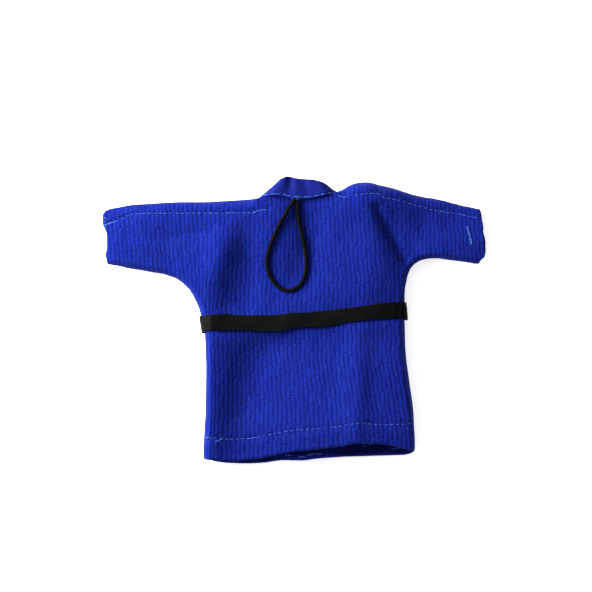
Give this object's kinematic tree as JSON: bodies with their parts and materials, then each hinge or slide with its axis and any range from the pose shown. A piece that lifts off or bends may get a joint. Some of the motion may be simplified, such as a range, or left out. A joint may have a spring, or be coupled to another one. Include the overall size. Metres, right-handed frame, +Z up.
{
  "type": "martial arts uniform",
  "caption": "Small cross-over martial arts jacket in ribbed cotton, tied with a ribbon belt, with folding sleeves and a cord loop at the collar for hanging it up.",
  "frame": {"origin": "centre of the footprint of the jacket as it lies flat with its back up, on the surface it lies on", "axes": "+X to the wearer's right along the sleeves, +Y from the hem to the collar, +Z up, out of the back"},
  "size_m": [0.1527, 0.1143, 0.0139],
  "materials": {
    "cotton": "royal blue ribbed cotton weave, matt",
    "collar": "blue plain-weave cotton, smooth",
    "ribbon": "black satin ribbon, soft sheen",
    "cord": "black round elastic cord, fine braid",
    "thread": "light blue sewing thread"
  },
  "bodies": {
    "jacket": {"back_panel": "cotton", "left_front_panel": "cotton", "right_front_panel": "cotton", "collar_band": "collar", "loop_tack": "thread", "shoulder_thread_left": "thread", "shoulder_thread_right": "thread", "hem_thread_back": "thread", "hem_thread_left_front": "thread", "hem_thread_right_front": "thread", "collar_seam_thread": "thread"},
    "left_sleeve": {"left_sleeve_back": "cotton", "left_sleeve_front": "cotton", "sleeve_thread_left": "thread"},
    "right_sleeve": {"right_sleeve_back": "cotton", "right_sleeve_front": "cotton", "sleeve_thread_right": "thread", "cuff_tack_right": "thread"},
    "belt": {"belt_wrap": "ribbon", "belt_knot": "ribbon"},
    "left_tail": {"belt_tail_left": "ribbon"},
    "right_tail": {"belt_tail_right": "ribbon"},
    "hanging_loop": {"hanging_loop": "cord"}
  },
  "joints": [
    {"name": "left_sleeve_fold", "type": "hinge", "parent": "jacket", "child": "left_sleeve", "pos_m": [-0.0414, 0.03, 0.00705], "axis": [0, 1, 0], "range_deg": [0, 150]},
    {"name": "right_sleeve_fold", "type": "hinge", "parent": "jacket", "child": "right_sleeve", "pos_m": [0.0474, 0.034, 0.00705], "axis": [0, -1, 0], "range_deg": [0, 150]},
    {"name": "belt_slide", "type": "slide", "parent": "jacket", "child": "belt", "axis": [0, 1, 0], "range_m": [-0.004, 0.002]},
    {"name": "left_tail_swing", "type": "hinge", "parent": "belt", "child": "left_tail", "pos_m": [-0.0004, -0.0067, 0.0004], "axis": [0, 0, 1], "range_deg": [-25, 14]},
    {"name": "right_tail_swing", "type": "hinge", "parent": "belt", "child": "right_tail", "pos_m": [0.0064, -0.0067, 0.0004], "axis": [0, 0, 1], "range_deg": [-14, 25]},
    {"name": "hanging_loop_turn", "type": "hinge", "parent": "jacket", "child": "hanging_loop", "pos_m": [0.0005, 0.048, 0.0102], "axis": [-1, 0, 0], "range_deg": [0, 170]}
  ]
}
